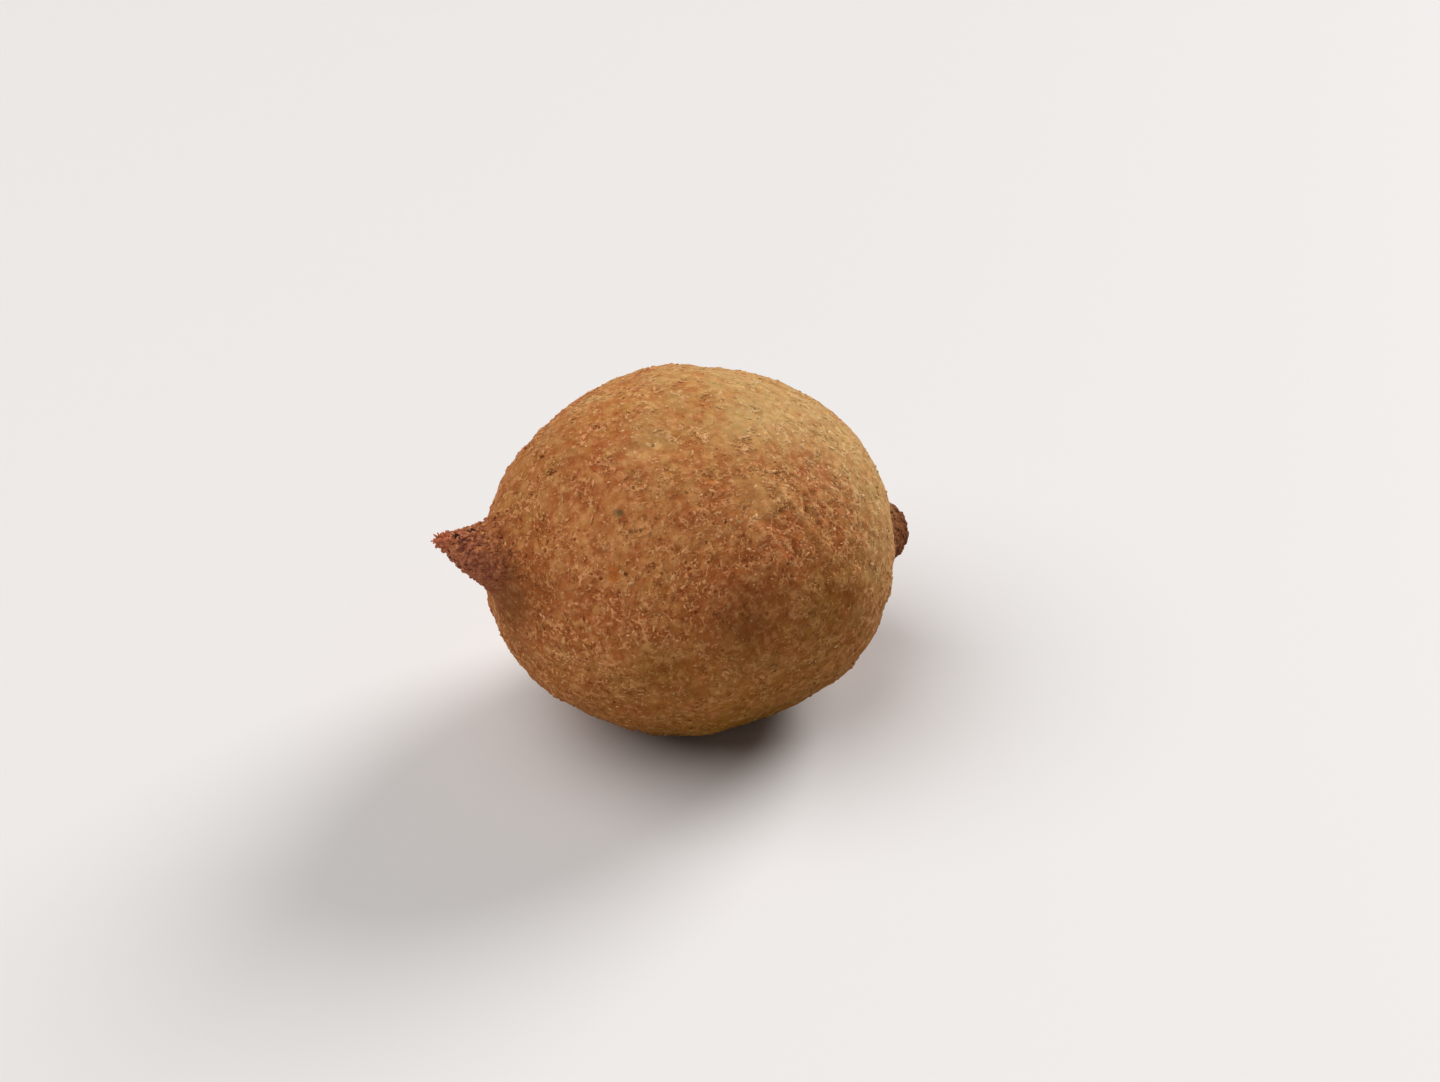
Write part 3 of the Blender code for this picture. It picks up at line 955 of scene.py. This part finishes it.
class CrustLook:
    """The crust's colours and bumps, with the values from 0 to 1 that both are made of."""

    def __init__(self, n):
        self.n = n
        self.place = n.place()
        self.uneven = n.shifted(self.place, CRUST_SHIFT)
        self.pale = n.ramp(n.attribute("pale"), WHOLE)
        self.toasted_and_shaded = n.ramp(n.attribute("toast_and_shade"), WHOLE)
        self.crumbly = self.crumbliness()
        self.covered = n.left(n.attribute("bald"), BALD_LOSS)
        calm = n.times(n.left(self.pale, PALE_PIT_LOSS), n.left(self.toasted_and_shaded, TOAST_AND_SHADE_PIT_LOSS))
        self.calm = n.times(calm, self.covered)
        self.lumps = n.noise(self.uneven, LUMP_NOISE)
        from_middle, self.drawn = n.cells(n.shifted(self.place, DOME_SHIFT), DOME_CELL)
        self.domes = n.ramp(from_middle, DOMES)
        self.fine = n.noise(self.place, FINE_NOISE)
        self.holes = self.make_holes()
        self.dots, self.rims = self.make_dots()
        self.flecks = self.make_flecks()

    def crumbliness(self):
        """How crumbly the crust is, which is where it is open."""
        n = self.n
        mottle = n.ramp(n.noise(self.place, CRUMBLY_NOISE), CRUMBLY_MOTTLE)
        return n.ramp(n.add(n.attribute("open"), mottle), CRUMBLY)

    def make_holes(self):
        """Small uneven holes."""
        n = self.n
        holes = n.ramp(n.noise(self.uneven, HOLE_NOISE), HOLES)
        return n.times(n.times(holes, n.ramp(self.crumbly, HOLES_IF_CRUMBLY)), self.calm)

    def make_dots(self):
        """Small round dots, and the rims round them."""
        n = self.n
        from_dot, drawn = n.cells(n.shifted(self.place, DOT_SHIFT), DOT_CELL)
        chosen = n.times(n.ramp(drawn, CHOSEN_DOTS), n.ramp(self.crumbly, DOTS_IF_CRUMBLY))
        dots = n.times(n.ramp(from_dot, DOTS), chosen)
        rims = n.ramp(n.math("ABSOLUTE", n.less(from_dot, RIM_MIDDLE)), RIMS)
        rims = n.times(n.times(rims, chosen), n.ramp(self.lumps, RIM_GAPS))
        return n.times(dots, self.calm), rims

    def make_flecks(self):
        """Pale flecks, and curled wisps along the rims and elsewhere."""
        n = self.n
        fewer = n.add(n.times(self.toasted_and_shaded, FEWER_IF_TOAST_AND_SHADE), n.times(self.pale, FEWER_IF_PALE))
        flecks = n.less(n.noise(self.uneven, FLECK_NOISE), fewer)
        flecks = n.less(flecks, n.ramp(self.crumbly, FEWER_IF_CLOSED))
        flecks = n.ramp(flecks, FLECKS)
        centred = n.less(n.times(n.noise(self.uneven, CURL_NOISE), 2.0), 1.0)
        wisps = n.ramp(n.math("ABSOLUTE", centred), CURLS)
        wisps = n.times(wisps, n.ramp(n.noise(self.place, WISP_NOISE), WISP_GAPS))
        wisps = n.times(n.larger(wisps, self.rims), n.ramp(self.crumbly, WISPS_IF_CRUMBLY))
        wisps = n.times(wisps, n.left(self.toasted_and_shaded, TOAST_AND_SHADE_WISP_LOSS))
        whole = n.times(n.less(1.0, self.dots), self.covered)
        return n.times(n.larger(flecks, wisps), whole)

    def bumps(self):
        """The bumps that are too fine for the mesh."""
        n = self.n
        height = n.times(self.lumps, n.ramp(self.crumbly, LUMP_BUMPS))
        height = n.add(height, n.times(self.domes, n.ramp(self.crumbly, DOME_BUMPS)))
        height = n.add(height, n.times(self.fine, FINE_BUMPS))
        height = n.add(height, n.times(self.flecks, FLECK_BUMPS))
        height = n.less(height, n.times(n.larger(self.holes, self.dots), HOLE_BUMPS))
        height = n.times(height, n.ramp(n.add(self.pale, self.toasted_and_shaded), BUMPS_IF_EVEN))
        return n.bump(n.times(height, self.covered), BUMP_DISTANCE)

    def shaded(self, colour):
        """A colour that differs from cell to cell, with painted shade in hollows and painted
        highlights on peaks.
        """
        n = self.n
        raised = n.add(self.lumps, n.times(self.domes, DOME_RISE))
        raised = n.add(raised, n.times(n.attribute("rise"), RELIEF_RISE))
        plain = n.left(self.toasted_and_shaded, TOAST_AND_SHADE_CELL_LOSS)
        colour = n.blend(n.ramp(self.drawn, RUST_CELLS), colour, RUST)
        colour = n.blend(n.times(n.ramp(self.drawn, STRAW_CELLS), plain), colour, STRAW)
        hollow_shading = n.times(n.ramp(raised, HOLLOW_SHADE), n.ramp(self.crumbly, HOLLOW_SHADE_IF_CRUMBLY))
        hollow_shading = n.times(hollow_shading, n.left(self.toasted_and_shaded, TOAST_AND_SHADE_HOLLOW_LOSS))
        colour = n.blend(hollow_shading, colour, n.tinted(colour, HOLLOW_SHADE_TINT))
        return n.blend(n.times(n.ramp(raised, PEAK_HIGHLIGHTS), plain), colour, PEACH)

    def flecked(self, colour):
        """The flecks over another colour."""
        n = self.n
        cover = n.times(self.flecks, n.ramp(self.pale, FLECK_COVER))
        return n.blend(cover, colour, bulgur_colour(n, self.pale, self.toasted_and_shaded))

    def pitted(self, colour):
        """A colour with painted shade in the pits, the holes and the dots."""
        n = self.n
        pits = n.times(n.attribute("pit"), n.times(self.calm, PIT_COVER))
        small = n.larger(n.times(self.holes, HOLE_COVER), n.times(self.dots, DOT_COVER))
        return n.blend(n.larger(pits, small), colour, n.tinted(colour, PIT_SHADE_TINT))


def crust_material(crust):
    n = Nodes("fried_crust")
    look = CrustLook(n)
    colour = look.shaded(crust_colour(n, look.place))
    colour = look.pitted(look.flecked(colour))
    colour = spotted(n, look.place, burnt_over(n, look.place, colour), crust)
    n.shader.inputs["IOR"].default_value = FAT_IOR
    return n.finish(colour, look.bumps(), n.ramp(look.fine, CRUST_ROUGHNESS), CRUST_SPECULAR)


def chip_material(name):
    """The finish of grains and crumbs: the crust's own colour, made paler or darker by tone."""
    n = Nodes(name)
    place = n.place()
    tone = n.attribute("tone")
    pale = n.ramp(n.attribute("pale"), WHOLE)
    toasted_and_shaded = n.ramp(n.attribute("toast_and_shade"), WHOLE)
    loss = n.add(n.times(toasted_and_shaded, TOAST_AND_SHADE_TONE_LOSS), n.times(pale, PALE_TONE_LOSS))
    lighter = n.ramp(n.less(tone, loss), LIGHTER_TONES)
    colour = n.blend(lighter, crust_colour(n, place), bulgur_colour(n, pale, toasted_and_shaded))
    colour = n.blend(n.times(n.ramp(tone, CREAM_TONES), lighter), colour, CREAM)
    colour = n.blend(n.ramp(tone, BROWN_TONES), colour, BROWN)
    colour = burnt_over(n, place, colour, n.ramp(tone, SPARED_TONES))
    bumps = n.bump(n.noise(place, CHIP_NOISE), CHIP_BUMPS)
    n.shader.inputs["IOR"].default_value = FAT_IOR
    return n.finish(colour, bumps, n.ramp(tone, CHIP_ROUGHNESS), CHIP_SPECULAR)


def odd_crumb_material():
    n = Nodes("odd_crumb")
    place = n.place()
    mottle = n.ramp(n.noise(place, MOTTLE_NOISE), ODD_CRUMB_MOTTLE)
    colour = n.blend(mottle, n.attribute("shade", "Color"), GOLD)
    bumps = n.bump(n.noise(place, ODD_CRUMB_NOISE), ODD_CRUMB_BUMPS)
    return n.finish(colour, bumps, ODD_CRUMB_ROUGHNESS, CHIP_SPECULAR)


def floor_material():
    n = Nodes("pale_floor")
    n.shader.inputs["Base Color"].default_value = FLOOR_COLOUR
    n.shader.inputs["Roughness"].default_value = FLOOR_ROUGHNESS
    return n.material


def make_floor():
    """A floor that is flat round the kibbeh and rises far away, so that it fills low views."""
    mesh = bmesh.new()
    bmesh.ops.create_grid(mesh, x_segments=FLOOR_CELLS, y_segments=FLOOR_CELLS, size=FLOOR_REACH)
    for vert in mesh.verts:
        far = max(0.0, vert.co.length - FLOOR_FLAT) / (FLOOR_REACH - FLOOR_FLAT)
        vert.co.z = FLOOR_RISE * far**2
    data = bpy.data.meshes.new("floor")
    mesh.to_mesh(data)
    mesh.free()
    data.shade_smooth()
    floor = bpy.data.objects.new("floor", data)
    bpy.context.scene.collection.objects.link(floor)
    data.materials.append(floor_material())


def add_sun(lamp):
    light = bpy.data.lights.new(lamp.name, "SUN")
    light.angle = math.radians(lamp.width)
    light.energy = lamp.strength
    holder = bpy.data.objects.new(lamp.name, light)
    direction = towards(lamp.bearing, lamp.height)
    holder.rotation_euler = direction.to_track_quat("Z", "Y").to_euler()
    bpy.context.scene.collection.objects.link(holder)


def make_lights():
    for lamp in LAMPS:
        add_sun(lamp)
    world = bpy.data.worlds.new("room")
    world.use_nodes = True
    background = world.node_tree.nodes["Background"]
    background.inputs["Color"].default_value = ROOM_COLOUR
    background.inputs["Strength"].default_value = ROOM_STRENGTH
    bpy.context.scene.world = world


def make_camera():
    """Puts the camera where the photograph was taken from, with the kibbeh at its place in it."""
    bearing, height = math.radians(CAMERA_BEARING_DEG), math.radians(CAMERA_HEIGHT_DEG)
    back = Vector(
        (
            math.sin(bearing) * math.cos(height),
            -math.cos(bearing) * math.cos(height),
            math.sin(height),
        )
    )
    right = Vector((math.cos(bearing), math.sin(bearing), 0.0))
    up = back.cross(right)
    px = CAMERA_DISTANCE / FOCAL_PX
    aim = MIDDLE + right * ((IMAGE_SIZE[0] / 2.0 - MIDDLE_PX[0]) * px)
    aim += up * ((MIDDLE_PX[1] - IMAGE_SIZE[1] / 2.0) * px)
    camera = bpy.data.cameras.new("camera")
    camera.lens = SENSOR_WIDTH_MM * FOCAL_PX / IMAGE_SIZE[0]
    camera.sensor_width = SENSOR_WIDTH_MM
    camera.clip_start = CLIP_START
    holder = bpy.data.objects.new("camera", camera)
    holder.location = aim + back * CAMERA_DISTANCE
    holder.rotation_euler = back.to_track_quat("Z", "Y").to_euler()
    bpy.context.scene.collection.objects.link(holder)
    bpy.context.scene.camera = holder
    bpy.context.scene.view_settings.view_transform = "Standard"


def make_kibbeh():
    piece = finer_copy(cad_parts["kibbeh"])
    crust = Crust(piece, np.random.default_rng(SEED))
    pits = crust.shape()
    add_layers(piece.data, crust.layers)
    piece.data.shade_smooth()
    piece.data.materials.clear()
    piece.data.materials.append(crust_material(crust))
    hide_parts("kibbeh")
    chips = [make_grains(crust, pits), make_crumbs(crust), make_flakes(crust)]
    chips += [make_tip_crumbs(crust), make_shreds(crust), make_odd_crumbs(crust)]
    for part in (piece, *chips):
        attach(part, "root")


make_camera()
make_kibbeh()
make_floor()
make_lights()
